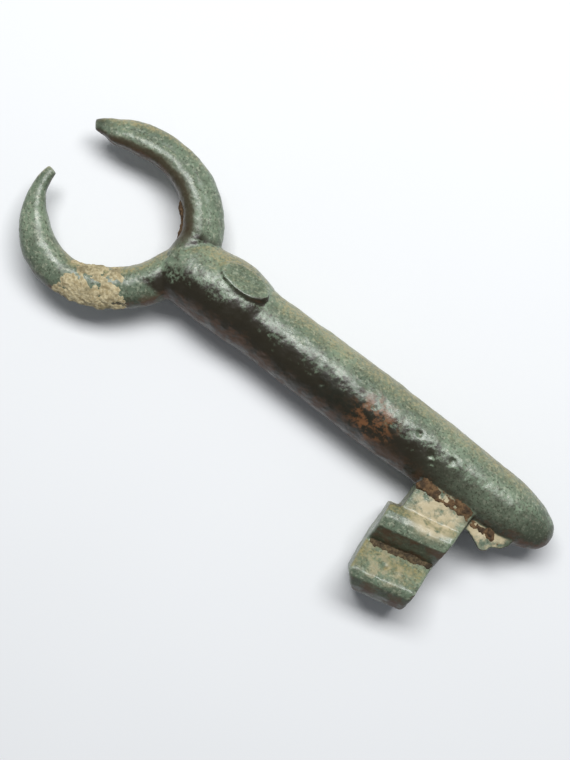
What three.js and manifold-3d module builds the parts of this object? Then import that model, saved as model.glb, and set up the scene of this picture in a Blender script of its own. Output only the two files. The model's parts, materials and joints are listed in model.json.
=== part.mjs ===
// Ring key: a cast-bronze key with a broken ring bow, a collar, a round stem and a bit with two ridges.
//
// The real key is one casting. It is divided here at its own features, and the pieces meet face to face on
// flat planes. Burial crust and earth are pieces of their own that lie a small gap clear of the metal.
//
// Millimetres. The key lies flat: +X runs along the stem towards the nose, +Z is up, and the bit points
// to -Y. While the key is built, x = 0 is the centre of the bow's ring, y = 0 and z = 0 the stem's axis.

import * as THREE from "three";
import { mergeVertices } from "three/addons/utils/BufferGeometryUtils.js";
import Module from "manifold-3d";

// Bow: a ring of one mean radius, broken open at the far end
const BOW_RADIUS = 11.2;
const BOW_ABOVE_AXIS = 0.5;
const ARM_FLATNESS = 0.86;
const ARM_SIDES = 20;
const ARM_STEPS = 44;

// Each arm from root to tip: angle round the ring in degrees, how far its middle lies outside the mean
// radius, and half its width
const UPPER_ARM = [
  [-5, -0.2, 3.1],
  [25, 0.35, 3.0],
  [60, -0.1, 2.65],
  [90, -0.5, 2.35],
  [112, -0.3, 2.3],
  [128, 0.35, 1.95],
  [136, 1.15, 1.4],
  [142.5, 1.8, 0.85],
];
const LOWER_ARM = [
  [5, -0.4, 3.1],
  [-25, -0.75, 3.1],
  [-55, -0.95, 2.95],
  [-90, 0.05, 2.75],
  [-118, 1.1, 2.5],
  [-138, 0.95, 2.25],
  [-151, 1.05, 1.6],
  [-164, 0.8, 1.1],
  [-177, 0.2, 0.7],
];

// Neck: the Y where the arms run together, cut off square at both arms and at the collar
const NECK_LENGTH = 3.05;
const NECK_WIDTH = 11.6;
const NECK_REACH_INWARD = 8.2;
const NECK_BODY_WIDTH = 10.6;
const NECK_BODY_THICKNESS = 9.0;
const NECK_BODY_LENGTH = 9.8;
const NECK_BODY_SETBACK = 0.8;

// Collar: a rounded bead
const COLLAR_LENGTH = 10.2;
const COLLAR_START_DIAMETER = 10.2;
const COLLAR_RISE = 1.15;
const COLLAR_FLATNESS = 0.92;

// Stem and nose: round, a little flatter than wide, fullest at the middle
const STEM_LENGTH = 41.7;
const STEM_START_DIAMETER = 9.2;
const STEM_MIDDLE_DIAMETER = 10.1;
const STEM_END_DIAMETER = 8.8;
const STEM_FLATNESS = 0.97;
const NOSE_LENGTH = 9.0;

// Bit block: its section is a zigzag, skewed towards the nose as it is in the casting
const BIT_LENGTH = 10.3;
const BIT_END_TO_NOSE = 11.0;
const BIT_TOP_FROM_AXIS = 9.0;
const BIT_SKEW_DEGREES = 12.5;
const FIRST_RIDGE_DROP = 1.9;
const GROOVE_DROP = 5.9;
const SECOND_RIDGE_DROP = 10.3;
const BIT_DEPTH = 13.4;
const BIT_OUTER_SETBACK = 1.0;
const BIT_TOP_HALF_THICKNESS = 3.3;
const RIDGE_HEIGHT = 4.6;
const GROOVE_HEIGHT = 1.9;
const BACK_GROOVE_DEPTH = 2.4;
const BACK_RIDGE_DEPTH = 4.5;
const OUTER_EDGE_HEIGHT = 1.7;
const OUTER_EDGE_DEPTH = 3.6;
const CHIP_ALONG_EDGE = 3.0;
const CHIP_UP_SIDE = 2.3;

// Web and flange: the plate between stem and block, and the eaten strip beyond it
const WEB_SETBACK = 1.6;
const WEB_HALF_THICKNESS = 3.2;
const FLANGE_LENGTH = 6.6;
const FLANGE_TOP = 2.1;
const FLANGE_BOTTOM = -1.5;

// Outer edge of the flange: share of its length from the block, and distance from the stem's axis
const FLANGE_EDGE = [
  [0, 6.5],
  [0.08, 5.7],
  [0.25, 6.0],
  [0.55, 6.9],
  [0.68, 6.5],
  [0.64, 5.8],
  [0.9, 5.1],
  [1, 3.9],
];

// Deposits, each this far clear of the metal
const GAP = 0.3;
const CRUST_THICKNESS = 0.55;
const CRUST_FROM_DEGREES = -97;
const CRUST_TO_DEGREES = -44;
const CRUST_LOWEST = 0.8;
const CROTCH_EARTH_THICKNESS = 0.6;
const CROTCH_FROM_DEGREES = 9;
const CROTCH_TO_DEGREES = 44;
const CROTCH_EARTH_HEIGHT = 4.2;
const CROTCH_EARTH_REACH = 1.9;
const SEAM_EARTH_SETBACK = 1.6;
const SEAM_EARTH_WIDTH = 1.2;
const SEAM_EARTH_HEIGHT = 0.8;
const SEAM_EARTH_JOIN = 0.5;
const FLANGE_EARTH_LENGTH = 4.4;
const GROOVE_EARTH_WIDTH = 1.5;
const GROOVE_EARTH_MARGIN = 0.5;

const STEM_SIDES = 36;

// Places along the key that follow from the sizes
const NECK_END = BOW_RADIUS + NECK_LENGTH;
const COLLAR_END = NECK_END + COLLAR_LENGTH;
const STEM_END = COLLAR_END + STEM_LENGTH;
const NOSE_TIP = STEM_END + NOSE_LENGTH;
const BIT_END = NOSE_TIP - BIT_END_TO_NOSE;
const BIT_START = BIT_END - BIT_LENGTH;
const WEB_START = BIT_START + WEB_SETBACK;
const SKEW = Math.tan(THREE.MathUtils.degToRad(BIT_SKEW_DEGREES));

const BRONZE = { color: 0x66705f, roughness: 0.5, metalness: 0.35 };
const DARK_BRONZE = { color: 0x4a5446, roughness: 0.55, metalness: 0.3 };
const TAN_CRUST = { color: 0xb5a67e, roughness: 0.95, metalness: 0 };
const BROWN_EARTH = { color: 0x5f432c, roughness: 1, metalness: 0 };

const wasm = await Module();
wasm.setup();

const key = new THREE.Group();

function addPiece(name, geometry, finish) {
  const mesh = new THREE.Mesh(geometry, new THREE.MeshStandardMaterial(finish));
  mesh.name = name;
  key.add(mesh);
}

function solidOf(geometry) {
  const bare = geometry.index ? geometry.toNonIndexed() : geometry.clone();
  bare.deleteAttribute("normal");
  bare.deleteAttribute("uv");
  const merged = mergeVertices(bare, 1e-4);
  const mesh = new wasm.Mesh({
    numProp: 3,
    vertProperties: new Float32Array(merged.attributes.position.array),
    triVerts: new Uint32Array(merged.index.array),
  });
  return new wasm.Manifold(mesh);
}

function geometryOf(solid) {
  const mesh = solid.getMesh();
  const geometry = new THREE.BufferGeometry();
  geometry.setAttribute("position", new THREE.BufferAttribute(mesh.vertProperties, 3));
  geometry.setIndex(new THREE.BufferAttribute(mesh.triVerts, 1));
  geometry.computeVertexNormals();
  return geometry;
}

function boxBetween(low, high) {
  const box = new THREE.BoxGeometry(high[0] - low[0], high[1] - low[1], high[2] - low[2]);
  box.translate((low[0] + high[0]) / 2, (low[1] + high[1]) / 2, (low[2] + high[2]) / 2);
  return box;
}

// A round bar of unit size bent along an arm's route. A positive swelling fattens it all round.
function armBar(stations, swelling = 0) {
  const route = new THREE.CatmullRomCurve3(stations.map(([degrees, outward]) => {
    const angle = THREE.MathUtils.degToRad(degrees);
    const radius = BOW_RADIUS + outward;
    return new THREE.Vector3(radius * Math.cos(angle), BOW_ABOVE_AXIS + radius * Math.sin(angle), 0);
  }), false, "centripetal");
  const halfWidths = new THREE.CatmullRomCurve3(stations.map(([, , half], i) => new THREE.Vector3(i, half, 0)));
  const bar = new THREE.CylinderGeometry(1, 1, 1, ARM_SIDES, ARM_STEPS);
  const place = bar.attributes.position;
  for (let i = 0; i < place.count; i += 1) {
    const along = place.getY(i) + 0.5;
    const middle = route.getPoint(along);
    const tangent = route.getTangent(along);
    const half = halfWidths.getPoint(along).y;
    const sideways = place.getX(i) * (half + swelling);
    const upwards = place.getZ(i) * (half * ARM_FLATNESS + swelling);
    place.setXYZ(i, middle.x + tangent.y * sideways, middle.y - tangent.x * sideways, upwards);
  }
  return bar;
}

// A body of revolution about the key's axis, from points of [x, radius]
function turned(points, flatness) {
  const profile = points.map(([x, radius]) => new THREE.Vector2(radius, x));
  const body = new THREE.LatheGeometry(profile, STEM_SIDES);
  body.rotateZ(-Math.PI / 2);
  body.scale(1, 1, flatness);
  return body;
}

function stemRadiusAt(share) {
  const ends = THREE.MathUtils.lerp(STEM_START_DIAMETER, STEM_END_DIAMETER, share) / 2;
  const evenMiddle = (STEM_START_DIAMETER + STEM_END_DIAMETER) / 4;
  return ends + (STEM_MIDDLE_DIAMETER / 2 - evenMiddle) * Math.sin(Math.PI * share);
}

function stemProfile(swelling = 0) {
  const steps = 16;
  const points = [[COLLAR_END, 0]];
  for (let i = 0; i <= steps; i += 1) {
    const share = i / steps;
    points.push([COLLAR_END + STEM_LENGTH * share, stemRadiusAt(share) + swelling]);
  }
  points.push([STEM_END, 0]);
  return points;
}

function noseProfile(swelling = 0) {
  const steps = 12;
  const points = [[STEM_END, 0]];
  for (let i = 0; i < steps; i += 1) {
    const angle = (i / steps) * (Math.PI / 2);
    const radius = (STEM_END_DIAMETER / 2) * Math.cos(angle);
    points.push([STEM_END + NOSE_LENGTH * Math.sin(angle), radius + swelling]);
  }
  points.push([NOSE_TIP + swelling, 0]);
  return points;
}

function collar() {
  const steps = 14;
  const points = [[NECK_END, 0]];
  for (let i = 0; i <= steps; i += 1) {
    const share = i / steps;
    const plain = THREE.MathUtils.lerp(COLLAR_START_DIAMETER, STEM_START_DIAMETER, share) / 2;
    points.push([NECK_END + COLLAR_LENGTH * share, plain + COLLAR_RISE * Math.sin(Math.PI * share) ** 0.8]);
  }
  points.push([COLLAR_END, 0]);
  return turned(points, COLLAR_FLATNESS);
}

function neckBox() {
  const low = [BOW_RADIUS - NECK_REACH_INWARD, -NECK_WIDTH / 2, -NECK_BODY_THICKNESS];
  const high = [NECK_END, NECK_WIDTH / 2, NECK_BODY_THICKNESS];
  return solidOf(boxBetween(low, high));
}

function neckBody(clearance = 0) {
  const body = new THREE.SphereGeometry(0.5, 36, 24);
  const sizes = [NECK_BODY_LENGTH, NECK_BODY_WIDTH, NECK_BODY_THICKNESS];
  body.scale(...sizes.map((size) => size + 2 * clearance));
  body.translate(NECK_END - NECK_BODY_SETBACK, 0, 0);
  return solidOf(body);
}

function neck() {
  const whole = neckBody().add(solidOf(armBar(UPPER_ARM))).add(solidOf(armBar(LOWER_ARM)));
  return geometryOf(whole.intersect(neckBox()));
}

function arm(stations) {
  return geometryOf(solidOf(armBar(stations)).subtract(neckBox()));
}

// The stem and nose, fattened, as the cutter that keeps a neighbour clear of them
function stemCutter(clearance) {
  const stem = solidOf(turned(stemProfile(clearance), STEM_FLATNESS));
  return stem.add(solidOf(turned(noseProfile(clearance), STEM_FLATNESS)));
}

// Where the block's top line lies below the stem's axis at a place along the key
function bitTopAt(x) {
  return -BIT_TOP_FROM_AXIS + (x - BIT_START) * SKEW;
}

// A length of the bit's section. Section points are [drop below the block's top line, height]. The side
// towards the bow leans in as it drops.
function bitLength(section, start, end) {
  const shape = new THREE.Shape(section.map(([drop, height]) => new THREE.Vector2(-drop, height)));
  const bar = new THREE.ExtrudeGeometry(shape, { depth: 1, bevelEnabled: false });
  const place = bar.attributes.position;
  for (let i = 0; i < place.count; i += 1) {
    const drop = -place.getX(i);
    const leaningStart = start + (BIT_OUTER_SETBACK * drop) / BIT_DEPTH;
    const x = THREE.MathUtils.lerp(leaningStart, end, place.getZ(i));
    place.setXYZ(i, x, bitTopAt(x) - drop, place.getY(i));
  }
  return bar;
}

function upperRidge() {
  return bitLength([
    [0, BIT_TOP_HALF_THICKNESS],
    [0, -BIT_TOP_HALF_THICKNESS],
    [FIRST_RIDGE_DROP, -BACK_GROOVE_DEPTH],
    [GROOVE_DROP, -BACK_RIDGE_DEPTH],
    [GROOVE_DROP, GROOVE_HEIGHT],
    [FIRST_RIDGE_DROP, RIDGE_HEIGHT],
  ], BIT_START, BIT_END);
}

function lowerRidge() {
  const whole = bitLength([
    [GROOVE_DROP, GROOVE_HEIGHT],
    [GROOVE_DROP, -BACK_RIDGE_DEPTH],
    [SECOND_RIDGE_DROP, -BACK_GROOVE_DEPTH],
    [BIT_DEPTH, -OUTER_EDGE_DEPTH],
    [BIT_DEPTH, OUTER_EDGE_HEIGHT],
    [SECOND_RIDGE_DROP, RIDGE_HEIGHT],
  ], BIT_START, BIT_END);
  const corner = bitTopAt(BIT_START + BIT_OUTER_SETBACK) - BIT_DEPTH;
  const chip = new THREE.Shape([
    new THREE.Vector2(BIT_START, corner + CHIP_UP_SIDE),
    new THREE.Vector2(BIT_START, corner - CHIP_UP_SIDE),
    new THREE.Vector2(BIT_START + CHIP_ALONG_EDGE, corner - CHIP_UP_SIDE),
    new THREE.Vector2(BIT_START + CHIP_ALONG_EDGE, corner + CHIP_ALONG_EDGE * SKEW),
  ]);
  const cutter = new THREE.ExtrudeGeometry(chip, { depth: 4 * RIDGE_HEIGHT, bevelEnabled: false });
  cutter.translate(0, 0, -2 * RIDGE_HEIGHT);
  return geometryOf(solidOf(whole).subtract(solidOf(cutter)));
}

function web() {
  const outline = new THREE.Shape([
    new THREE.Vector2(WEB_START, 0),
    new THREE.Vector2(WEB_START, bitTopAt(WEB_START)),
    new THREE.Vector2(BIT_END, bitTopAt(BIT_END)),
    new THREE.Vector2(BIT_END, 0),
  ]);
  const plate = new THREE.ExtrudeGeometry(outline, { depth: 2 * WEB_HALF_THICKNESS, bevelEnabled: false });
  plate.translate(0, 0, -WEB_HALF_THICKNESS);
  return geometryOf(solidOf(plate).subtract(stemCutter(GAP)));
}

function flange() {
  const edge = FLANGE_EDGE.map(([share, out]) => new THREE.Vector2(BIT_END + FLANGE_LENGTH * share, -out));
  const outline = new THREE.Shape([
    new THREE.Vector2(BIT_END, 0),
    ...edge,
    new THREE.Vector2(BIT_END + FLANGE_LENGTH, 0),
  ]);
  const depth = FLANGE_TOP - FLANGE_BOTTOM;
  const plate = new THREE.ExtrudeGeometry(outline, { depth, bevelEnabled: false });
  plate.translate(0, 0, FLANGE_BOTTOM);
  return geometryOf(solidOf(plate).subtract(stemCutter(GAP)));
}

// A skin over one arm, between two angles round the ring
function armSkin(stations, thickness, fromDegrees, toDegrees, bottom, top) {
  const shell = solidOf(armBar(stations, GAP + thickness)).subtract(solidOf(armBar(stations, GAP)));
  const reach = 3 * BOW_RADIUS;
  const rim = [fromDegrees, toDegrees].map((degrees) => {
    const angle = THREE.MathUtils.degToRad(degrees);
    return new THREE.Vector2(reach * Math.cos(angle), BOW_ABOVE_AXIS + reach * Math.sin(angle));
  });
  const wedge = new THREE.Shape([new THREE.Vector2(0, BOW_ABOVE_AXIS), ...rim]);
  const sector = new THREE.ExtrudeGeometry(wedge, { depth: top - bottom, bevelEnabled: false });
  sector.translate(0, 0, bottom);
  return shell.intersect(solidOf(sector));
}

function bowCrust() {
  const highest = BOW_RADIUS;
  const skin = armSkin(
    LOWER_ARM, CRUST_THICKNESS, CRUST_FROM_DEGREES, CRUST_TO_DEGREES, CRUST_LOWEST, highest,
  );
  return geometryOf(skin);
}

// Earth on the inner side of the upper arm's root
function crotchEarth() {
  const half = CROTCH_EARTH_HEIGHT / 2;
  const skin = armSkin(
    UPPER_ARM, CROTCH_EARTH_THICKNESS, CROTCH_FROM_DEGREES, CROTCH_TO_DEGREES, -half, half,
  );
  const radius = BOW_RADIUS - CROTCH_EARTH_REACH;
  const core = new THREE.CylinderGeometry(radius, radius, 2 * CROTCH_EARTH_HEIGHT, 64);
  core.rotateX(Math.PI / 2);
  core.translate(0, BOW_ABOVE_AXIS, 0);
  return geometryOf(skin.intersect(solidOf(core)).subtract(neckBody(GAP)));
}

// A bar of earth in the angle between the stem and a plate whose upper face is at a given height
function seamBar(start, end, plateTop, height) {
  const section = new THREE.Shape([
    new THREE.Vector2(-SEAM_EARTH_WIDTH, 0),
    new THREE.Vector2(SEAM_EARTH_WIDTH, 0),
    new THREE.Vector2(SEAM_EARTH_WIDTH, height),
    new THREE.Vector2(0, height),
  ]);
  const bar = new THREE.ExtrudeGeometry(section, { depth: end - start, bevelEnabled: false });
  bar.rotateY(Math.PI / 2);
  bar.rotateX(Math.PI / 2);
  const stemRadius = STEM_END_DIAMETER / 2;
  const seam = -Math.sqrt(Math.max(stemRadius ** 2 - (plateTop / STEM_FLATNESS) ** 2, 0));
  bar.translate(start, seam - SEAM_EARTH_WIDTH / 2, plateTop + GAP);
  return solidOf(bar);
}

// Earth along the seam between stem and bit: high over the web, then lower over the flange
function seamEarth() {
  const join = BIT_END + GAP;
  const start = WEB_START + SEAM_EARTH_SETBACK;
  const overWeb = seamBar(start, join + SEAM_EARTH_JOIN, WEB_HALF_THICKNESS, SEAM_EARTH_HEIGHT);
  const flangeHeight = WEB_HALF_THICKNESS - FLANGE_TOP + SEAM_EARTH_HEIGHT / 2;
  const overFlange = seamBar(join, join + FLANGE_EARTH_LENGTH, FLANGE_TOP, flangeHeight);
  return geometryOf(overWeb.add(overFlange).subtract(stemCutter(GAP)));
}

// Earth in the bottom of the bit's groove: a bar whose sides follow the two slopes
function grooveEarth() {
  const slopeUp = (RIDGE_HEIGHT - GROOVE_HEIGHT) / (GROOVE_DROP - FIRST_RIDGE_DROP);
  const slopeDown = (RIDGE_HEIGHT - GROOVE_HEIGHT) / (SECOND_RIDGE_DROP - GROOVE_DROP);
  const floor = GROOVE_HEIGHT + 1.5 * GAP;
  return bitLength([
    [GROOVE_DROP, floor],
    [GROOVE_DROP + GROOVE_EARTH_WIDTH, floor + GROOVE_EARTH_WIDTH * slopeDown],
    [GROOVE_DROP - GROOVE_EARTH_WIDTH, floor + GROOVE_EARTH_WIDTH * slopeUp],
  ], BIT_START + GROOVE_EARTH_MARGIN, BIT_END - GROOVE_EARTH_MARGIN);
}

addPiece("bow_upper_arm", arm(UPPER_ARM), BRONZE);
addPiece("bow_lower_arm", arm(LOWER_ARM), BRONZE);
addPiece("bow_neck", neck(), BRONZE);
addPiece("collar", collar(), BRONZE);
addPiece("shank", turned(stemProfile(), STEM_FLATNESS), BRONZE);
addPiece("shank_nose", turned(noseProfile(), STEM_FLATNESS), BRONZE);
addPiece("bit_web", web(), BRONZE);
addPiece("bit_upper_ridge", upperRidge(), DARK_BRONZE);
addPiece("bit_lower_ridge", lowerRidge(), DARK_BRONZE);
addPiece("bit_flange", flange(), BRONZE);
addPiece("bow_crust", bowCrust(), TAN_CRUST);
addPiece("crotch_earth", crotchEarth(), BROWN_EARTH);
addPiece("seam_earth", seamEarth(), BROWN_EARTH);
addPiece("groove_earth", grooveEarth(), TAN_CRUST);

// The origin goes to the middle of the key's underside
const bounds = new THREE.Box3().setFromObject(key);
const middle = bounds.getCenter(new THREE.Vector3());
key.position.set(-middle.x, -middle.y, -bounds.min.z);

const group = new THREE.Group();
group.add(key);

export default group;
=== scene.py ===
# %% [markdown]
# # A cast-bronze ring key, built step by step
# The real key is one casting. Its founder shaped it in wax first, so it is smooth, rounded and a little
# uneven. Here the whole casting gets one skin, and is then divided at the same features as the CAD.

import json
import math
from collections import namedtuple

import bpy
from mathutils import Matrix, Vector

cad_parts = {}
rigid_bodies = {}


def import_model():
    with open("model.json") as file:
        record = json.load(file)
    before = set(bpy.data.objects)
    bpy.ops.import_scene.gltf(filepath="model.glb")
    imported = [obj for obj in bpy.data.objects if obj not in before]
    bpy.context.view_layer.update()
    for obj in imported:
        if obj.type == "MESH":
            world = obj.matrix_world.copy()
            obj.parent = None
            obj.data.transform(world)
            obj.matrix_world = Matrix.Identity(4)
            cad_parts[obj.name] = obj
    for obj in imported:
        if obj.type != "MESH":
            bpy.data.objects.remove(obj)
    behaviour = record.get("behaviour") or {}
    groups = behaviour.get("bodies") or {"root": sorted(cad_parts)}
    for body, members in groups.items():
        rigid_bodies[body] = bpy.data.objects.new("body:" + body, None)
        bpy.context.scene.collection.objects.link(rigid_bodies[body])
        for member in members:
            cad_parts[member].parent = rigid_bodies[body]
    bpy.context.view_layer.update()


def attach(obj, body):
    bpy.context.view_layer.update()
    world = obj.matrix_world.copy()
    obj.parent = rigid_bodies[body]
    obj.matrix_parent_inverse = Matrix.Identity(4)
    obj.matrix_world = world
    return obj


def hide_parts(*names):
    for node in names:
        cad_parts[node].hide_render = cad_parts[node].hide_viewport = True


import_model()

# %% [markdown]
# ## Places on the key
# Sizes are in millimetres from the middle of the bow's ring, with the stem's axis at y = 0 and z = 0. That
# keeps every number close to what a ruler on the key would show. `at` turns them into metres in the frame.

# %% Millimetres on the key to metres in the frame
MM_PER_M = 1000
RING_X = -31.26
AXIS_Y = 4.093
AXIS_Z = 5.532


def at(x, y, z=0.0):
    return Vector((x + RING_X, y + AXIS_Y, z + AXIS_Z)) / MM_PER_M


def sizes_mm(piece):
    return [round(size * MM_PER_M, 2) for size in piece.dimensions]


print("middle of the ring", tuple(at(0, 0)))

# %% [markdown]
# ## Swept bars
# Arms, neck and stem are all bars whose width changes along the way. Each bar starts as a filled circle that
# stands across its heading. The circle is pushed on from ring to ring, and after each push its new end is
# turned and scaled, much as a wax rod is rolled thinner and bent. A bevelled curve would be quicker, but its
# width and height couldn't change apart from each other.


# %% Smooth steps between the rows of a table
def smooth_steps(table, steps):
    rows = []
    last = len(table) - 1
    for i in range(last):
        four = table[max(i - 1, 0)], table[i], table[i + 1], table[min(i + 2, last)]
        for k in range(steps):
            t = k / steps
            row = []
            for p, q, r, s in zip(*four):
                curve = 2 * q + (r - p) * t + (2 * p - 5 * q + 4 * r - s) * t**2
                row.append(0.5 * (curve + (3 * q - p - 3 * r + s) * t**3))
            rows.append(row)
    rows.append(list(table[-1]))
    return rows


print("steps from 0 to 1:", [round(row[0], 2) for row in smooth_steps([(0,), (1,)], 4)])

# %% The first ring of a bar
Ring = namedtuple("Ring", "x y half high heading")


def first_ring(name, ring, sides):
    bpy.ops.object.select_all(action="DESELECT")
    bpy.ops.mesh.primitive_circle_add(
        vertices=sides,
        radius=ring.half / MM_PER_M,
        fill_type="NGON",
        location=at(ring.x, ring.y),
        rotation=(0, math.pi / 2, ring.heading),
    )
    bar = bpy.context.object
    bar.name = name
    bpy.ops.object.transform_apply(location=True, rotation=True, scale=True)
    bpy.ops.object.mode_set(mode="EDIT")
    bpy.ops.mesh.select_all(action="SELECT")
    flatten = (1, 1, ring.high / ring.half)
    bpy.ops.transform.resize(value=flatten, center_override=at(ring.x, ring.y))
    bpy.ops.object.mode_set(mode="OBJECT")
    return bar


# %% [markdown]
# Each arm has a soft ridge that leans to the inner side of the ring. It is raised on the first ring only,
# because every push carries the shape of the ring along the whole bar.

# %% A ridge on the first ring
RIDGE_LEAN = 0.5
RIDGE_EDGE = 0.72


def raise_ridge(bar, ring, ridge):
    inward = Vector((-math.sin(ring.heading), math.cos(ring.heading), 0)) * math.copysign(1, ridge)
    crest = (inward * math.sin(RIDGE_LEAN) + Vector((0, 0, math.cos(RIDGE_LEAN)))).normalized()
    for vertex in bar.data.vertices:
        spoke = vertex.co - at(ring.x, ring.y)
        share = max(0.0, spoke.normalized().dot(crest) - RIDGE_EDGE) / (1 - RIDGE_EDGE)
        vertex.co += spoke * abs(ridge) * share


# %% Push a bar on through its rings
STRAIGHT_ON = 1e-6


def sweep(name, rings, sides, ridge=0.0):
    bar = first_ring(name, rings[0], sides)
    if ridge:
        raise_ridge(bar, rings[0], ridge)
    bpy.ops.object.mode_set(mode="EDIT")
    for old, new in zip(rings, rings[1:]):
        middle = at(new.x, new.y)
        step = middle - at(old.x, old.y)
        bpy.ops.mesh.extrude_region_move(TRANSFORM_OT_translate={"value": step})
        turn = old.heading - new.heading
        if abs(turn) > STRAIGHT_ON:
            bpy.ops.transform.rotate(value=turn, orient_axis="Z", center_override=middle)
        wider = new.half / old.half
        bpy.ops.transform.resize(value=(wider, wider, new.high / old.high), center_override=middle)
    bpy.ops.mesh.select_all(action="SELECT")
    bpy.ops.mesh.normals_make_consistent(inside=False)
    bpy.ops.object.mode_set(mode="OBJECT")
    print(name, sizes_mm(bar), "mm", len(bar.data.polygons), "faces")
    return bar


# %% [markdown]
# ## The two arms of the bow
# The bow was a whole ring. It is broken open, so each arm is a bar that thins towards its own broken tip. A
# row of the table gives the angle round the ring in degrees, the radius of the arm's middle, and half its
# width. The arms start inside the neck, where they cross.

# %% The arms' tables
UPPER_ARM = [
    (-12, 11.6, 2.3),
    (0, 11.3, 3.15),
    (23, 11.7, 3.0),
    (48, 11.25, 2.85),
    (62, 11.1, 2.7),
    (80, 10.8, 2.42),
    (95, 10.78, 2.38),
    (109, 10.8, 2.38),
    (119, 11.1, 2.2),
    (128, 11.5, 1.97),
    (134, 12.2, 1.5),
    (140, 12.85, 1.0),
    (142.5, 13.05, 0.75),
]
LOWER_ARM = [
    (12, 11.5, 2.2),
    (-8, 10.7, 2.95),
    (-32, 10.3, 3.0),
    (-54, 10.22, 2.97),
    (-75, 10.7, 2.87),
    (-90, 11.3, 2.7),
    (-105, 11.9, 2.7),
    (-120, 12.2, 2.57),
    (-129, 12.22, 2.38),
    (-140, 12.15, 2.15),
    (-151, 12.15, 1.62),
    (-161, 12.05, 1.18),
    (-170, 11.75, 0.98),
    (-177, 11.45, 0.72),
]
print(len(UPPER_ARM), "rows for the upper arm,", len(LOWER_ARM), "for the lower")

# %% From angles to rings with headings
RING_ABOVE_AXIS = 0.5
ARM_FLATNESS = 0.86
ARM_STEPS = 4
ARM_SIDES = 36
UPPER_RIDGE = 0.24
LOWER_RIDGE = -0.08


def arm_rings(table):
    rows = []
    for degrees, radius, half in smooth_steps(table, ARM_STEPS):
        angle = math.radians(degrees)
        rows.append((radius * math.cos(angle), RING_ABOVE_AXIS + radius * math.sin(angle), half))
    rings = []
    for i, (x, y, half) in enumerate(rows):
        back = rows[max(i - 1, 0)]
        ahead = rows[min(i + 1, len(rows) - 1)]
        heading = math.atan2(ahead[1] - back[1], ahead[0] - back[0])
        if rings:
            while heading - rings[-1].heading > math.pi:
                heading -= 2 * math.pi
            while heading - rings[-1].heading < -math.pi:
                heading += 2 * math.pi
        rings.append(Ring(x, y, half, half * ARM_FLATNESS, heading))
    return rings


upper_arm = sweep("upper arm", arm_rings(UPPER_ARM), ARM_SIDES, UPPER_RIDGE)
lower_arm = sweep("lower arm", arm_rings(LOWER_ARM), ARM_SIDES, LOWER_RIDGE)

# %% [markdown]
# ## Neck, collar, stem and nose
# These four run into one another without a step on the real key, so they are one long bar. The collar is a
# soft bead that stands proud mostly on its upper side, so its rings sit a little to that side.

# %% The long bar: place along the key, middle to the side, half width and half height
LONG_BAR = [
    (8.9, 0.0, 3.6, 2.7),
    (10.2, 0.0, 4.6, 3.6),
    (12.0, 0.0, 5.0, 4.3),
    (14.3, 0.1, 5.1, 4.7),
    (17.0, 0.3, 5.35, 5.2),
    (19.6, 0.4, 5.4, 5.45),
    (22.3, 0.2, 5.15, 5.1),
    (24.6, 0.05, 4.8, 4.6),
    (30.0, 0.0, 4.85, 4.7),
    (38.0, 0.0, 5.0, 4.85),
    (46.0, 0.0, 5.03, 4.87),
    (56.0, 0.0, 4.8, 4.65),
    (62.0, 0.0, 4.55, 4.4),
    (66.2, 0.0, 4.38, 4.25),
    (69.0, 0.0, 4.1, 3.95),
    (71.4, 0.0, 3.5, 3.35),
    (73.2, 0.0, 2.75, 2.6),
    (74.4, 0.0, 1.85, 1.75),
    (75.05, 0.0, 0.75, 0.7),
]
LONG_BAR_STEPS = 3
LONG_BAR_SIDES = 56
long_rings = [Ring(*row, heading=0.0) for row in smooth_steps(LONG_BAR, LONG_BAR_STEPS)]
long_bar = sweep("long bar", long_rings, LONG_BAR_SIDES)

# %% [markdown]
# ## The oval facet
# The collar has a flat oval facet on its upper side, with a crisp rim. A flat cylinder is stretched to an
# oval and laid into the collar at a slant, so that only its rim stands out. It starts 1 mm in radius, so its
# scale is the oval's size in millimetres. A bevel breaks the sharp edge.


# %% A modifier that is applied at once
def apply_modifier(piece, kind, **settings):
    bpy.context.view_layer.objects.active = piece
    modifier = piece.modifiers.new(kind.lower(), kind)
    for setting, value in settings.items():
        setattr(modifier, setting, value)
    bpy.ops.object.modifier_apply(modifier=modifier.name)


# %% Lay the facet into the collar
FACET_PLACE = (19.65, 3.03, 3.78)
FACET_SLANT = math.radians(-35)
FACET_HALF_LENGTH = 3.9
FACET_HALF_WIDTH = 2.15
FACET_DEPTH = 1.6
FACET_EDGE = 0.3
FACET_SIDES = 48
bpy.ops.mesh.primitive_cylinder_add(
    vertices=FACET_SIDES,
    radius=1 / MM_PER_M,
    depth=FACET_DEPTH / MM_PER_M,
    location=at(*FACET_PLACE),
    rotation=(FACET_SLANT, 0, 0),
)
facet = bpy.context.object
facet.name = "oval facet"
facet.scale = (FACET_HALF_LENGTH, FACET_HALF_WIDTH, 1.0)
bpy.ops.object.transform_apply(location=True, rotation=True, scale=True)
apply_modifier(facet, "BEVEL", width=FACET_EDGE / MM_PER_M, segments=2)
print("oval facet", sizes_mm(facet), "mm")

# %% [markdown]
# ## The bit
# The block of the bit has two ridges with a groove between them, and a shallower pair behind. It starts as a
# plain box. Straight cuts give it lines of corners, and each line is lifted or dropped to its own height. A
# drawn outline could be extruded instead, but moved lines are easier to match to the real ridges one by one.

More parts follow.
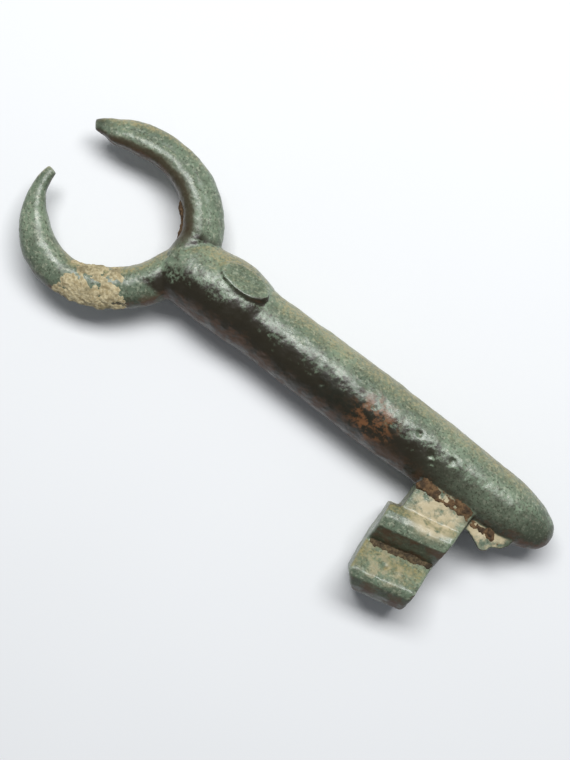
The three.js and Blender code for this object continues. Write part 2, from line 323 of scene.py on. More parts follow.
# %% The block's sizes and its section: drop below the top line, height in front, height behind
BIT_START = 53.85
BIT_END = 64.15
BIT_TOP = -9.0
BIT_OUTER_SETBACK = 1.0
SKEW = math.tan(math.radians(12.5))
BIT_RISE = (BIT_END - BIT_START) * SKEW
BOX_HALF_THICKNESS = 3
SECTION = [
    (0.0, 3.3, -3.3),
    (0.9, 4.25, -2.8),
    (1.9, 4.6, -2.4),
    (3.4, 4.3, -3.4),
    (4.8, 2.8, -4.3),
    (5.9, 1.1, -4.5),
    (7.0, 1.9, -4.1),
    (8.4, 3.3, -3.5),
    (10.3, 4.6, -2.4),
    (11.4, 4.2, -2.6),
    (12.5, 3.1, -3.1),
    (13.4, 1.4, -3.5),
]
BIT_DEPTH = SECTION[-1][0]
print("bit", round(BIT_END - BIT_START, 2), "mm along the key,", BIT_DEPTH, "mm deep")


# %% A box between two corners
def box_between(name, low, high):
    bpy.ops.object.select_all(action="DESELECT")
    bpy.ops.mesh.primitive_cube_add(size=1, location=(low + high) / 2)
    box = bpy.context.object
    box.name = name
    box.scale = high - low
    bpy.ops.object.transform_apply(location=True, rotation=True, scale=True)
    return box


# %% Straight cuts across a piece
CUT_THRESHOLD = 1e-7


def cut_lines(piece, places, normal):
    bpy.ops.object.mode_set(mode="EDIT")
    for place in places:
        bpy.ops.mesh.select_all(action="SELECT")
        bpy.ops.mesh.bisect(plane_co=place, plane_no=normal, threshold=CUT_THRESHOLD)
    bpy.ops.object.mode_set(mode="OBJECT")


# %% Move the corners that a test picks out
def move_where(piece, picked, step_mm):
    bpy.ops.object.mode_set(mode="EDIT")
    bpy.ops.mesh.select_mode(type="VERT")
    bpy.ops.mesh.select_all(action="DESELECT")
    bpy.ops.object.mode_set(mode="OBJECT")
    for vertex in piece.data.vertices:
        vertex.select = picked(vertex.co)
    bpy.ops.object.mode_set(mode="EDIT")
    bpy.ops.transform.translate(value=[step / MM_PER_M for step in step_mm])
    bpy.ops.object.mode_set(mode="OBJECT")


# %% Cut the block's lines and lift them
ON_THE_LINE = 1e-6
bit_middle = at((BIT_START + BIT_END) / 2, 0)
block = box_between(
    "bit block",
    at(BIT_START, BIT_TOP - BIT_DEPTH, -BOX_HALF_THICKNESS),
    at(BIT_END, BIT_TOP, BOX_HALF_THICKNESS),
)
cut_lines(block, [at(0, BIT_TOP - drop) for drop, _, _ in SECTION[1:-1]], (0, 1, 0))
for drop, front, back in SECTION:
    line = at(0, BIT_TOP - drop).y
    lift = (0, 0, front - BOX_HALF_THICKNESS)
    sink = (0, 0, back + BOX_HALF_THICKNESS)
    lean = (BIT_OUTER_SETBACK * drop / BIT_DEPTH, 0, 0)
    move_where(block, lambda co: abs(co.y - line) < ON_THE_LINE and co.z > bit_middle.z, lift)
    move_where(block, lambda co: abs(co.y - line) < ON_THE_LINE and co.z < bit_middle.z, sink)
    move_where(block, lambda co: abs(co.y - line) < ON_THE_LINE and co.x < bit_middle.x, lean)
move_where(block, lambda co: co.x > bit_middle.x, (0, BIT_RISE, 0))
print("bit block", sizes_mm(block), "mm")

# %% [markdown]
# One corner of the block is chipped off. A slanted cut takes it away and closes the hole. After that a bevel
# rounds all the edges, as wear has done.

# %% Chip the corner and round the edges
CHIP_PLACE = (54.8, -19.8)
CHIP_FACING = (-1.6, -3.25, 0)
BIT_EDGE = 0.5
BIT_EDGE_ANGLE = math.radians(40)
bpy.ops.object.mode_set(mode="EDIT")
bpy.ops.mesh.select_all(action="SELECT")
bpy.ops.mesh.bisect(
    plane_co=at(*CHIP_PLACE),
    plane_no=CHIP_FACING,
    use_fill=True,
    clear_outer=True,
    threshold=CUT_THRESHOLD,
)
bpy.ops.object.mode_set(mode="OBJECT")
apply_modifier(
    block,
    "BEVEL",
    width=BIT_EDGE / MM_PER_M,
    segments=3,
    limit_method="ANGLE",
    angle_limit=BIT_EDGE_ANGLE,
)
print("rounded block", len(block.data.polygons), "faces")

# %% [markdown]
# ## Web and eaten strip
# A web joins the block to the stem. Beyond the block a thinner strip runs on towards the nose, and corrosion
# has eaten its edge. Both start as boxes. The web's outer edge is lifted to follow the slant of the block's
# top, and the strip's edge is cut into lines of corners that move in by what is eaten away.

# %% The web
WEB_SETBACK = 1.6
WEB_HALF_THICKNESS = 3.2
WEB_INTO_BLOCK = 0.6
WEB_INTO_STEM = -1
WEB_RISE = 2.3
below_stem = at(0, -5).y
web = box_between(
    "web",
    at(BIT_START + WEB_SETBACK, BIT_TOP - WEB_INTO_BLOCK, -WEB_HALF_THICKNESS),
    at(BIT_END, WEB_INTO_STEM, WEB_HALF_THICKNESS),
)
move_where(web, lambda co: co.x > bit_middle.x and co.y < below_stem, (0, WEB_RISE, 0))
print("web", sizes_mm(web), "mm")

# %% The eaten strip: place along the key, and how far its edge lies from the stem's axis
STRIP_EDGE = [
    (63.15, 6.7),
    (64.7, 5.75),
    (65.8, 6.0),
    (67.8, 6.9),
    (68.5, 6.4),
    (68.7, 5.7),
    (70.0, 5.1),
    (70.75, 4.0),
]
STRIP_INTO_BLOCK = 1
STRIP_INTO_STEM = -2
STRIP_OUT = 6
STRIP_BACK = -1.5
STRIP_FRONT = 2.1
ALONG = (1, 0, 0)
strip = box_between(
    "eaten strip",
    at(BIT_END - STRIP_INTO_BLOCK, -STRIP_OUT, STRIP_BACK),
    at(STRIP_EDGE[-1][0], STRIP_INTO_STEM, STRIP_FRONT),
)
cut_lines(strip, [at(x, 0) for x, _ in STRIP_EDGE[1:-1]], ALONG)
outer_side = at(0, -STRIP_OUT + 0.1).y
for x, out in STRIP_EDGE:
    line = at(x, 0).x
    eaten = (0, STRIP_OUT - out, 0)
    move_where(strip, lambda co: abs(co.x - line) < ON_THE_LINE and co.y < outer_side, eaten)
print("eaten strip", sizes_mm(strip), "mm")

# %% [markdown]
# ## One skin over the whole casting
# The parts only overlap so far. Booleans could unite them, but would leave sharp inner corners, and a casting
# has none. So a voxel remesh lays one closed skin over all of them, and smoothing rounds it. Then three sizes
# of gentle noise push the skin in and out, because corroded bronze is never quite even.


# %% Join parts, and roughen a skin
def join(name, parts):
    bpy.ops.object.select_all(action="DESELECT")
    for part in parts:
        part.select_set(True)
    bpy.context.view_layer.objects.active = parts[0]
    bpy.ops.object.join()
    parts[0].name = name
    return parts[0]


def roughen(piece, grain, height, depth=2):
    texture = bpy.data.textures.new(f"grain {grain}", "CLOUDS")
    texture.noise_scale = grain / MM_PER_M
    texture.noise_depth = depth
    apply_modifier(piece, "DISPLACE", texture=texture, strength=height / MM_PER_M, mid_level=0.5)


# %% Skin the casting
CASTING_VOXEL = 0.2
CASTING_GRAINS = [(5.0, 0.3), (1.3, 0.11), (0.5, 0.07)]
casting = join("casting", [long_bar, upper_arm, lower_arm, facet, block, web, strip])
apply_modifier(casting, "REMESH", mode="VOXEL", voxel_size=CASTING_VOXEL / MM_PER_M)
apply_modifier(casting, "SMOOTH", factor=0.5, iterations=6)
for grain, height in CASTING_GRAINS:
    roughen(casting, grain, height)
print("casting", sizes_mm(casting), "mm", len(casting.data.polygons), "faces")

# %% [markdown]
# ## Pits
# The stem, the bit and the lower arm carry a few small pits. Noise would scatter them anywhere, so each gets
# a place of its own. It is a soft dip, deepest at its middle, pressed in along the skin's own normals.

# %% Press the pits: place, radius and depth
PITS = [
    (at(54.3, -0.6, 4.8), 0.7, 0.34),
    (at(55.0, -1.4, 4.6), 0.45, 0.22),
    (at(57.2, 0.7, 4.7), 0.6, 0.28),
    (at(51.3, 1.0, 4.8), 0.55, 0.3),
    (at(48.0, -2.4, 4.2), 0.6, 0.25),
    (at(36.4, -1.7, 4.5), 0.5, 0.2),
    (at(-10.95, -7.2, 1.3), 0.45, 0.3),
    (at(-11.0, -5.7, 1.1), 0.4, 0.25),
    (at(58.5, -16.4, 3.2), 0.6, 0.35),
    (at(61.9, -13.5, 3.2), 0.5, 0.3),
]
PIT_REACH = 2
PIT_STEEPNESS = 2


def press_pits(piece, pits):
    for vertex in piece.data.vertices:
        for place, radius, depth in pits:
            away = (vertex.co - place).length * MM_PER_M / radius
            if away < PIT_REACH:
                dip = math.exp(-PIT_STEEPNESS * away * away)
                vertex.co -= vertex.normal * depth / MM_PER_M * dip


press_pits(casting, PITS)
print(len(PITS), "pits")

# %% [markdown]
# ## Proud places and hollows
# Use wears the proud edges pale, and the finish also paints a highlight on them; the hollows are left dark.
# How far each place stands out from a smoothed copy is measured here and kept on the mesh, so that the finish
# can read it later. It is measured before the skin is cut, because the edges of the cuts would stand out too.


# %% One piece selected and active
def only(piece):
    bpy.ops.object.select_all(action="DESELECT")
    piece.select_set(True)
    bpy.context.view_layer.objects.active = piece


# %% Measure against a smoothed copy
only(casting)
bpy.ops.object.duplicate()
smoothed = bpy.context.object
apply_modifier(smoothed, "SMOOTH", factor=1.0, iterations=24)
proud = casting.data.attributes.new("proud", "FLOAT", "POINT")
heights = []
for here, there in zip(casting.data.vertices, smoothed.data.vertices):
    heights.append((here.co - there.co).dot(here.normal) * MM_PER_M)
proud.data.foreach_set("value", heights)
bpy.data.objects.remove(smoothed)
print("proud from", round(min(heights), 3), "to", round(max(heights), 3), "mm")

# %% [markdown]
# ## Dividing the casting
# The shared library wants named pieces, so the skin is cut at the same features as the CAD. Every cut is
# flat and is closed with a face, which leaves each piece a solid of its own and changes nothing outside.


# %% The two halves of a piece, before and beyond a plane
CLEAN_CUT = 1e-8


def halves(piece, place, normal):
    only(piece)
    bpy.ops.object.duplicate()
    beyond = bpy.context.object
    for half, cleared in ((piece, "clear_outer"), (beyond, "clear_inner")):
        only(half)
        bpy.ops.object.mode_set(mode="EDIT")
        bpy.ops.mesh.select_all(action="SELECT")
        bpy.ops.mesh.bisect(
            plane_co=place,
            plane_no=normal,
            use_fill=True,
            threshold=CLEAN_CUT,
            **{cleared: True},
        )
        bpy.ops.object.mode_set(mode="OBJECT")
    return piece, beyond


# %% Cut bow, collar, stem and nose apart
NECK_END = 14.25
NECK_HALF_WIDTH = 5.8
COLLAR_END = 24.45
STEM_END = 66.15
LOWER_ARM_CUT = math.radians(36)
BELOW_STEM = (40, -5.6)
BELOW_STEM_SLOPE = 0.0375
bow, rest = halves(casting, at(NECK_END, 0), ALONG)
bow, upper_arm_piece = halves(bow, at(0, NECK_HALF_WIDTH), (0, 1, 0))
across_lower_arm = (math.sin(LOWER_ARM_CUT), math.cos(LOWER_ARM_CUT), 0)
lower_arm_piece, neck_piece = halves(bow, at(0, RING_ABOVE_AXIS), across_lower_arm)
bit, rest = halves(rest, at(*BELOW_STEM), (-BELOW_STEM_SLOPE, 1, 0))
collar_piece, rest = halves(rest, at(COLLAR_END, 0), ALONG)
stem_piece, nose_piece = halves(rest, at(STEM_END, 0), ALONG)
print("collar", sizes_mm(collar_piece), "stem", sizes_mm(stem_piece), "mm")

# %% Cut the bit apart
STRIP_CUT = BIT_END + 0.3
GROOVE_DROP = 5.9
across_bit = Vector((-SKEW, 1, 0)).normalized()
bit, strip_piece = halves(bit, at(STRIP_CUT, 0), ALONG)
bit, web_piece = halves(bit, at(BIT_START, BIT_TOP), across_bit)
lower_ridge_piece, upper_ridge_piece = halves(bit, at(BIT_START, BIT_TOP - GROOVE_DROP), across_bit)
METAL = {
    "bow_upper_arm": upper_arm_piece,
    "bow_lower_arm": lower_arm_piece,
    "bow_neck": neck_piece,
    "collar": collar_piece,
    "shank": stem_piece,
    "shank_nose": nose_piece,
    "bit_web": web_piece,
    "bit_upper_ridge": upper_ridge_piece,
    "bit_lower_ridge": lower_ridge_piece,
    "bit_flange": strip_piece,
}
print(len(METAL), "pieces of metal")

# %% [markdown]
# A flat cut through a rough skin can leave a loose sliver beside the piece. The vertex nearest the piece's
# middle surely belongs to the piece, so what is linked to it stays and the rest goes.


# %% Drop loose slivers
def drop_slivers(piece):
    middle = sum((Vector(corner) for corner in piece.bound_box), Vector()) / 8
    nearest = min(piece.data.vertices, key=lambda vertex: (vertex.co - middle).length).index
    only(piece)
    bpy.ops.object.mode_set(mode="EDIT")
    bpy.ops.mesh.select_mode(type="VERT")
    bpy.ops.mesh.select_all(action="DESELECT")
    bpy.ops.object.mode_set(mode="OBJECT")
    piece.data.vertices[nearest].select = True
    bpy.ops.object.mode_set(mode="EDIT")
    bpy.ops.mesh.select_linked()
    bpy.ops.mesh.select_all(action="INVERT")
    bpy.ops.mesh.delete(type="VERT")
    bpy.ops.object.mode_set(mode="OBJECT")


for node, piece in METAL.items():
    drop_slivers(piece)
    print(node, len(piece.data.polygons), "faces")

# %% [markdown]
# ## Crust and earth
# Burial left a gritty tan crust on the lower arm, and earth in the crotch, the seam and the groove. Each
# lump gets a finer skin than the metal and much stronger noise, which dips it into the metal here and there.
# That gives it the ragged rim of the real crust, which a patch painted on the metal wouldn't have.

# %% A lump from overlapping parts
LUMP_VOXEL = 0.12
COARSE_GRAIN = 1.6
FINE_GRAIN = 0.45


def lump(name, parts, coarse, fine):
    piece = join(name, parts)
    apply_modifier(piece, "REMESH", mode="VOXEL", voxel_size=LUMP_VOXEL / MM_PER_M)
    apply_modifier(piece, "SMOOTH", factor=0.5, iterations=4)
    roughen(piece, COARSE_GRAIN, coarse, depth=3)
    roughen(piece, FINE_GRAIN, fine)
    print(name, sizes_mm(piece), "mm", len(piece.data.polygons), "faces")
    return piece


# %% [markdown]
# Crust and crotch earth follow an arm, so each starts as a stretch of that arm that is a little fatter. Its
# ends shrink into the metal, so that they don't stop at a straight line. A cut then leaves only the half
# that shows: the upper half of the crust, and the side of the crotch that faces the middle of the ring.

# %% A fatter stretch of an arm, sunk at both ends
FADE_RINGS = 9
SUNK = 0.7


def arm_stretch(table, start, end, swelling):
    rings = arm_rings([row for row in smooth_steps(table, ARM_STEPS) if start <= row[0] <= end])
    fatter = []
    for i, ring in enumerate(rings):
        fade = min(1.0, i / FADE_RINGS, (len(rings) - 1 - i) / FADE_RINGS)
        more = (swelling + SUNK) * fade**0.5 - SUNK
        fatter.append(ring._replace(half=ring.half + more, high=ring.high + more))
    return sweep("arm stretch", fatter, ARM_SIDES)


# %% Crust on the lower arm: only the half beyond the plane is kept
CRUST_BOTTOM = 0.9
crust = lump("crust", [arm_stretch(LOWER_ARM, start=-104, end=-38, swelling=0.2)], coarse=0.8, fine=0.22)
unwanted, crust = halves(crust, at(0, 0, CRUST_BOTTOM), (0, 0, 1))
bpy.data.objects.remove(unwanted)
print("crust kept", len(crust.data.polygons), "faces")

# %% Earth in the crotch: only the half before the plane is kept
CROTCH_CUT = (10.6, 2.5)
CROTCH_CUT_FACING = (0.88, 0.32, 0.3)
crotch = lump("crotch earth", [arm_stretch(UPPER_ARM, start=2, end=56, swelling=0.24)], coarse=0.8, fine=0.3)
crotch, unwanted = halves(crotch, at(*CROTCH_CUT), CROTCH_CUT_FACING)
bpy.data.objects.remove(unwanted)
print("crotch earth kept", len(crotch.data.polygons), "faces")

# %% [markdown]
# The seam between stem and web, and the groove of the bit, are straight. Their earth starts as thin bars that
# lie half in the metal. The groove's bar is skewed like the block.

# %% Earth in the seam and in the groove
web_bar = box_between("seam bar", at(BIT_START + 1.5, -4.8, 2.3), at(BIT_END - 0.2, -3.2, 3.4))
strip_bar = box_between("seam bar", at(BIT_END - 1, -4.9, 1.2), at(69.4, -3.0, 2.2))
seam = lump("seam earth", [web_bar, strip_bar], coarse=1.5, fine=0.4)
groove_bar = box_between(
    "groove bar",
    at(BIT_START + 0.9, BIT_TOP - 6.9, 0.9),
    at(BIT_END - 0.4, BIT_TOP - 5.3, 1.6),
)
move_where(groove_bar, lambda co: co.x > bit_middle.x, (0, BIT_RISE, 0))
groove = lump("groove earth", [groove_bar], coarse=0.9, fine=0.3)
LUMPS = {"bow_crust": crust, "crotch_earth": crotch, "seam_earth": seam, "groove_earth": groove}

# %% [markdown]
# ## Helpers for finishes
# Colours are written as they look on a screen, from 0 to 255, and turned into the linear values that Blender
# works with. Image textures could carry the patina too, but nodes keep it sharp at any size and in any view.


# %% Screen colour to linear colour
def linear(red, green, blue):
    parts = []
    for value in (red, green, blue):
        value /= 255
        parts.append(value / 12.92 if value <= 0.04045 else ((value + 0.055) / 1.055) ** 2.4)
    return (*parts, 1)


print("mid grey in linear light", round(linear(128, 128, 128)[0], 3))


# %% [markdown]
# Three small classes keep the nodes short to write, and each builds on the one before. `Nodes` adds single
# nodes and links them. `Masks` makes masks, which say from 0 to 1 how much of a colour lies at a place.
# `Finish` paints colours through the masks, one thin wash over another.


# %% Single nodes
class Nodes:
    def __init__(self, name):
        self.material = bpy.data.materials.new(name)
        self.material.use_nodes = True
        self.tree = self.material.node_tree
        self.tree.nodes.clear()
        self.place = self.node("ShaderNodeTexCoord").outputs["Object"]
        self.surface = self.node("ShaderNodeBsdfPrincipled")
        output = self.node("ShaderNodeOutputMaterial")
        self.link(self.surface.outputs[0], output.inputs[0])

    def node(self, kind, **settings):
        made = self.tree.nodes.new(kind)
        for setting, value in settings.items():
            setattr(made, setting, value)
        return made

    def link(self, source, target):
        self.tree.links.new(source, target)

    def put(self, value, socket):
        if isinstance(value, bpy.types.NodeSocket):
            self.link(value, socket)
        else:
            socket.default_value = value

    def number(self, operation, one, two):
        made = self.node("ShaderNodeMath", operation=operation)
        self.put(one, made.inputs[0])
        self.put(two, made.inputs[1])
        return made.outputs[0]

    def vector(self, operation, one, two):
        made = self.node("ShaderNodeVectorMath", operation=operation)
        self.put(one, made.inputs[0])
        self.put(two, made.inputs[1])
        gives_number = operation in ("DISTANCE", "DOT_PRODUCT")
        return made.outputs["Value" if gives_number else "Vector"]

    def normal(self):
        return self.node("ShaderNodeNewGeometry").outputs["Normal"]


# %% Masks: noise, spots, sides and what two masks make together
class Masks(Nodes):
    def noise(self, grain, detail, roughness=0.55, shift=0.0):
        moved = self.vector("ADD", self.place, (shift, shift * 0.7, -shift))
        made = self.node("ShaderNodeTexNoise")
        self.link(moved, made.inputs["Vector"])
        made.inputs["Scale"].default_value = MM_PER_M / grain
        made.inputs["Detail"].default_value = detail
        made.inputs["Roughness"].default_value = roughness
        return made.outputs["Fac"]

    def both(self, one, two):
        return self.number("MULTIPLY", one, two)

    def either(self, one, two):
        return self.number("MAXIMUM", one, two)

    def spread(self, value, low, high, to_low=0.0, to_high=1.0):
        made = self.node("ShaderNodeMapRange", interpolation_type="SMOOTHSTEP")
        self.link(value, made.inputs["Value"])
        made.inputs["From Min"].default_value = low
        made.inputs["From Max"].default_value = high
        made.inputs["To Min"].default_value = to_low
        made.inputs["To Max"].default_value = to_high
        return made.outputs["Result"]

    def near(self, spot, inner, outer):
        away = self.vector("DISTANCE", self.place, spot)
        return self.spread(away, inner / MM_PER_M, outer / MM_PER_M, 1.0, 0.0)

    def facing(self, direction):
        return self.vector("DOT_PRODUCT", self.normal(), Vector(direction).normalized())


# %% Finishes: a first colour, washes over it, bumps, and how dull it is
class Finish(Masks):
    def __init__(self, name, first_colour):
        super().__init__(name)
        self.colour = first_colour

    def paint(self, mask, colour):
        made = self.node("ShaderNodeMix", data_type="RGBA")
        self.put(mask, made.inputs["Factor"])
        self.put(self.colour, made.inputs["A"])
        self.put(colour, made.inputs["B"])
        self.colour = next(socket for socket in made.outputs if socket.type == "RGBA")

    def finished(self, roughness, normal=None):
        self.link(self.colour, self.surface.inputs["Base Color"])
        self.put(roughness, self.surface.inputs["Roughness"])
        if normal is not None:
            self.link(normal, self.surface.inputs["Normal"])
        print(self.material.name, len(self.tree.nodes), "nodes")
        return self.material

    def bump(self, height, strength, distance, under=None):
        made = self.node("ShaderNodeBump")
        made.inputs["Strength"].default_value = strength
        made.inputs["Distance"].default_value = distance / MM_PER_M
        self.link(height, made.inputs["Height"])
        if under is not None:
            self.link(under, made.inputs["Normal"])
        return made.outputs["Normal"]


# %% [markdown]
# ## Bronze patina
# The patina is a satin grey-green. Three sizes of noise mottle it: broad clouds, middling blotches and fine
# specks. A fourth adds dark pores. Edges that stand proud of the smoothed copy go pale, partly as wear and
# partly as a painted highlight.

# %% Mottled green, pores, and worn edges with a painted highlight
patina = Finish("bronze patina", linear(94, 108, 90))
broad = patina.noise(7, 3)
middling = patina.noise(1.6, 5, 0.6, 0.3)
fine = patina.noise(0.45, 4, 0.6, 0.7)
pores = patina.noise(0.32, 3, 0.6, 1.1)
stands_proud = patina.node("ShaderNodeAttribute", attribute_name="proud").outputs["Fac"]
patina.paint(patina.spread(broad, 0.35, 0.65), linear(120, 136, 114))
patina.paint(patina.spread(middling, 0.45, 0.7, 0.0, 0.6), linear(80, 88, 70))
patina.paint(patina.spread(fine, 0.48, 0.7, 0.0, 0.6), linear(172, 176, 154))
patina.paint(patina.spread(pores, 0.52, 0.66, 0.0, 0.75), linear(62, 66, 50))
# Pale proud edges: partly wear, partly a painted highlight along the crests.
patina.paint(patina.spread(stands_proud, 0.09, 0.3, 0.0, 0.7), linear(176, 184, 164))
print("mottled green", len(patina.tree.nodes), "nodes")

# %% [markdown]
# The key's two long sides are coloured differently. Faces towards the top of the picture get an olive tint, a
# painted reflection of warm light. Faces towards the bottom get painted shade, dark and brown, most of all
# under the stem, where it climbs up in a ragged line and thins towards the nose.

# %% Olive painted reflection on the upper side, and painted shade on the lower side
UPPER_SIDE = (-0.6, 0.8, 0.1)
LOWER_SIDE = (0.6, -0.8, -0.1)
upward = patina.facing(UPPER_SIDE)
downward = patina.facing(LOWER_SIDE)
painted_olive_reflection = patina.both(patina.spread(upward, 0.45, 0.85), patina.spread(fine, 0.4, 0.6, 0.25, 0.9))
# Painted reflection: an olive tint on faces that turn towards the top of the picture.
patina.paint(painted_olive_reflection, linear(150, 140, 98))
# Painted shade: faces that turn towards the bottom of the picture go dark.
patina.paint(patina.spread(downward, 0.08, 0.7, 0.0, 0.82), linear(52, 56, 42))
print("upper and lower side", len(patina.tree.nodes), "nodes")

# %% Painted shade under the stem
parted = patina.node("ShaderNodeSeparateXYZ")
patina.link(patina.place, parted.inputs[0])
place_along, place_across = parted.outputs["X"], parted.outputs["Y"]
past_the_ring = patina.spread(place_along, at(-2, 0).x, at(9, 0).x)
above_the_bit = patina.spread(place_across, at(0, -5.6).y, at(0, -4.8).y)
below_the_arm = patina.spread(place_across, at(0, 4.2).y, at(0, 6.2).y, 1.0, 0.0)
before_the_nose = patina.spread(place_along, at(51, 0).x, at(66, 0).x, 1.0, 0.5)
on_stem = patina.both(patina.both(past_the_ring, above_the_bit), below_the_arm)
ragged = patina.number("ADD", downward, patina.spread(middling, 0.3, 0.7, -0.12, 0.12))
ragged = patina.number("ADD", ragged, patina.spread(fine, 0.35, 0.65, -0.13, 0.13))
painted_shade_under_stem = patina.both(patina.spread(ragged, -0.34, 0.02), patina.both(on_stem, before_the_nose))
# Painted shade: the stem's lower side goes dark brown, in a ragged line that thins towards the nose.
patina.paint(painted_shade_under_stem, linear(40, 36, 25))
print("under the stem", len(patina.tree.nodes), "nodes")

# %% [markdown]
# The inner side of the upper arm gets painted shade, brown as well. That side faces the middle of the ring,
# so the mask compares each face's normal with the level direction from that face to the middle.

# %% Painted shade on the inner side of the upper arm
to_middle = patina.vector("SUBTRACT", at(-1, RING_ABOVE_AXIS), patina.place)
level_to_middle = patina.vector("MULTIPLY", to_middle, (1, 1, 0))
inward = patina.node("ShaderNodeVectorMath", operation="NORMALIZE")
patina.link(level_to_middle, inward.inputs[0])
facing_in = patina.vector("DOT_PRODUCT", inward.outputs[0], patina.normal())
painted_shade_inner_side = patina.spread(facing_in, -0.1, 0.42, 0.0, 0.9)
on_upper_arm = patina.near(at(2, 12, 0), 11, 14)
# Painted shade: the upper arm's inner side goes dark brown.
patina.paint(patina.both(painted_shade_inner_side, on_upper_arm), linear(62, 52, 36))
print("inner side of the upper arm", len(patina.tree.nodes), "nodes")

# %% [markdown]
# The facet is darker than the metal round it, and so is the tip of the upper arm, where the ring broke. All
# hollows are dark, because nothing rubs them. The facet and the tip are spots, and the hollows are read from
# the heights that were kept on the mesh.

# %% Dark facet, dark tip and dark hollows
on_facet = patina.near(at(19.65, 3.5, 4.2), 2.2, 3.6)
on_tip = patina.near(at(-10.5, 8.4, 0.3), 0.9, 2.6)
patina.paint(patina.both(on_facet, patina.spread(fine, 0.3, 0.6, 0.5, 0.15)), linear(66, 76, 58))
patina.paint(patina.both(on_tip, patina.spread(middling, 0.3, 0.6, 0.95, 0.5)), linear(50, 54, 41))
patina.paint(patina.spread(stands_proud, -0.22, -0.06, 0.8, 0.0), linear(40, 38, 28))
print("facet, tip and hollows", len(patina.tree.nodes), "nodes")

# %% [markdown]
# A black streak of painted shade runs along the middle of the stem, where its faces turn away from the top of
# the picture. Brown earth clings to the lower side, partly as earth and partly as painted shade, and one
# patch of the stem is rusty brown. Pale soil lies on the web, the strip and the bit's second face, but only
# where the metal is level. Each mask is a spot or a side times noise, so that none has a clean outline.

# %% Black streak of painted shade, and brown earth that is partly painted shade
streak = patina.spread(patina.noise(1.0, 4, 0.6, 4.0), 0.42, 0.56)
streak = patina.both(patina.near(at(42, -0.4, 4.8), 4.0, 8.5), streak)
streak = patina.both(streak, patina.spread(patina.facing((0.6, -0.8, 0)), -0.12, 0.08))
# Painted shade: a black line where the stem's faces turn from the lit side to the shaded side.
patina.paint(streak, linear(34, 34, 24))
earth_and_shade = patina.spread(patina.noise(2.2, 5, 0.65, 2.0), 0.42, 0.6, 0.0, 0.85)
earth_and_shade = patina.both(patina.spread(downward, 0.25, 0.7), earth_and_shade)
# Brown on faces towards the bottom of the picture: partly earth, partly painted shade.
patina.paint(earth_and_shade, linear(84, 58, 38))
print("streak and earth", len(patina.tree.nodes), "nodes")

# %% Pale soil and rust
blotches = patina.spread(middling, 0.35, 0.55)
web_soil = patina.both(patina.near(at(59.8, -6.5, 3), 2.4, 4.9), blotches)
strip_soil = patina.both(patina.near(at(67.3, -5.2, 2), 2.2, 4.4), blotches)
face_soil = patina.spread(middling, 0.46, 0.6, 0.0, 0.45)
face_soil = patina.both(patina.near(at(58.5, -16.0, 3), 2.0, 5.0), face_soil)
face_up = patina.spread(patina.facing((0, 0, 1)), 0.5, 0.75)
level_face = patina.both(face_up, patina.spread(downward, 0.3, 0.0))
pale_soil = patina.either(web_soil, patina.either(face_soil, strip_soil))
patina.paint(patina.both(pale_soil, level_face), linear(184, 172, 140))
rust = patina.spread(patina.noise(1.3, 5, 0.7, 3.0), 0.45, 0.6)
patina.paint(patina.both(patina.near(at(45, -1.5, 4.5), 1.5, 5.0), rust), linear(112, 76, 48))
print("pale soil and rust", len(patina.tree.nodes), "nodes")

# %% [markdown]
# Patinated bronze shines softly, and earth hardly shines at all, so the mask of earth and painted shade
# raises the roughness.
# Two bumps, one on the other, give the grit that is too fine to be modelled.

# %% Satin gloss, duller on earth, and fine grit
GRIT_HEIGHT = 0.25
SPECK_HEIGHT = 0.08
gloss = patina.spread(middling, 0.3, 0.7, 0.27, 0.42)
dullness = patina.number("ADD", gloss, patina.both(earth_and_shade, 0.25))
grit = patina.bump(middling, 0.35, GRIT_HEIGHT)
specks = patina.bump(fine, 0.4, SPECK_HEIGHT, grit)
bronze_patina = patina.finished(dullness, specks)

# %% [markdown]
# ## Crust and earth finishes
# Crust and earth are dull and gritty. Fine grains mix a pale and a dark tone, damp-looking patches add a
# deep one, and two bumps make the grains stand up. Only the colours differ between the three.


# %% Three dull finishes
EARTH_ROUGHNESS = 0.95


def dull_finish(name, pale, dark, deep):
    finish = Finish(name, dark)
    grains = finish.noise(0.5, 5, 0.65)
    patches = finish.noise(1.8, 4, 0.6, 0.5)
    finish.paint(finish.spread(grains, 0.38, 0.62), pale)
    finish.paint(finish.spread(patches, 0.5, 0.66, 0.0, 0.8), deep)
    lumpy = finish.bump(patches, 0.6, 0.4)
    gritty = finish.bump(grains, 0.8, 0.2, lumpy)
    return finish.finished(EARTH_ROUGHNESS, gritty)


tan_crust = dull_finish("tan crust", linear(192, 181, 147), linear(154, 140, 106), linear(114, 106, 80))
brown_earth = dull_finish("brown earth", linear(110, 86, 58), linear(78, 58, 38), linear(50, 40, 28))
groove_earth = dull_finish("groove earth", linear(102, 88, 64), linear(68, 57, 40), linear(42, 35, 25))

# %% [markdown]
# ## Giving the pieces to the frame
# Each piece stands for its own CAD node. The key is one solid casting, so everything rides the one body. The
# smooth shading stops at sharp edges, so that the flat cuts don't darken the skin beside them.

# %% Name, finish and pass on
SHARP_EDGE = math.radians(50)
LUMP_FINISHES = {
    "bow_crust": ("tan_crust", tan_crust),
    "crotch_earth": ("brown_earth", brown_earth),
    "seam_earth": ("brown_earth", brown_earth),
    "groove_earth": ("tan_crust", groove_earth),
}
for node, piece in {**METAL, **LUMPS}.items():
    only(piece)
    bpy.ops.object.mode_set(mode="EDIT")
    bpy.ops.mesh.select_all(action="SELECT")
    bpy.ops.mesh.normals_make_consistent(inside=False)
    bpy.ops.object.mode_set(mode="OBJECT")
    bpy.ops.object.shade_smooth_by_angle(angle=SHARP_EDGE)
    piece.name = f"{node}_skin"
    slot_name, material = LUMP_FINISHES.get(node, ("bronze_patina", bronze_patina))
    piece.data.materials.clear()
    piece.data.materials.append(material)
    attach(piece, "root")
    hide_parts(node)
print(len(METAL) + len(LUMPS), "pieces passed on")

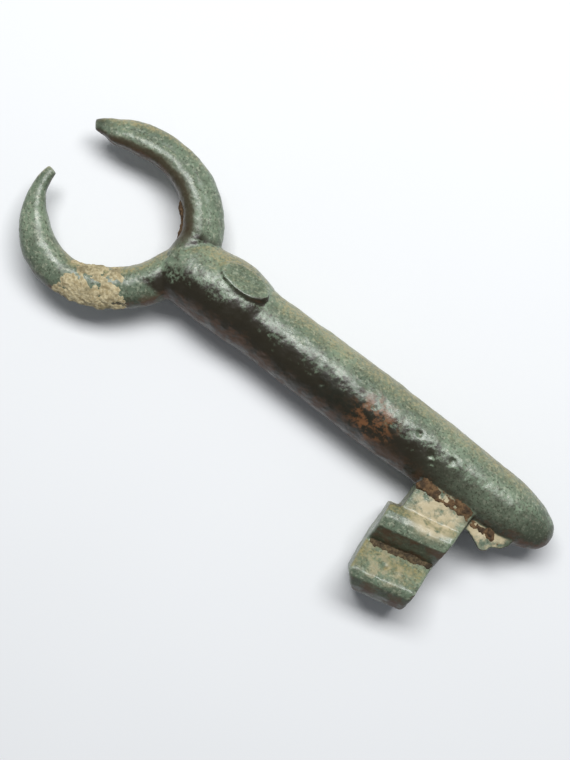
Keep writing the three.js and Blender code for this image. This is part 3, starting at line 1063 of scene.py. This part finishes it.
# %% [markdown]
# ## Floor, light and camera
# The key lies on a plain pale floor. A long soft lamp hangs a little towards the top of the picture, which
# draws a highlight along the stem and lets the lower side fall into shade. The camera looks straight down.

# %% Floor
FLOOR_SIZE = 3
FLOOR_ROUGHNESS = 0.9
bpy.ops.object.select_all(action="DESELECT")
bpy.ops.mesh.primitive_plane_add(size=FLOOR_SIZE, location=(0, 0, 0))
floor = bpy.context.object
floor.name = "floor"
pale_floor = Finish("pale floor", linear(228, 230, 232))
pale_floor.paint(pale_floor.noise(60, 2), linear(232, 234, 236))
floor.data.materials.append(pale_floor.finished(FLOOR_ROUGHNESS))
print("floor", tuple(floor.dimensions))

# %% Soft light all round
SKY_STRENGTH = 0.2
world = bpy.data.worlds.new("studio")
bpy.context.scene.world = world
world.use_nodes = True
sky = world.node_tree.nodes["Background"]
sky.inputs["Color"].default_value = linear(236, 240, 246)
sky.inputs["Strength"].default_value = SKY_STRENGTH
print("sky strength", SKY_STRENGTH)

# %% A long lamp over the key
PICTURE_UP = Vector((-0.6, 0.8, 0))
LAMP_PLACE = PICTURE_UP * 0.21 + Vector((0.06, 0, 0.4))
LAMP_LENGTH = 0.36
LAMP_WIDTH = 0.13
LAMP_WATTS = 2.3
bpy.ops.object.light_add(type="AREA", location=LAMP_PLACE)
lamp = bpy.context.object
lamp.data.shape = "RECTANGLE"
lamp.data.size = LAMP_LENGTH
lamp.data.size_y = LAMP_WIDTH
lamp.data.energy = LAMP_WATTS
lamp.rotation_euler = (-lamp.location).to_track_quat("-Z", "Y").to_euler()
print("lamp at", tuple(lamp.location))

# %% Camera over the middle of the picture
PICTURE_MIDDLE = (32.11, -4.213, 250.3)
PICTURE_TURN = math.atan2(0.6, 0.8)
LENS_MM = 85
NEAREST_SEEN = 0.005
bpy.ops.object.camera_add(location=at(*PICTURE_MIDDLE), rotation=(0, 0, PICTURE_TURN))
camera = bpy.context.object
camera.data.lens = LENS_MM
camera.data.clip_start = NEAREST_SEEN
bpy.context.scene.camera = camera
bpy.context.scene.view_settings.view_transform = "Standard"
print("camera at", tuple(camera.location))
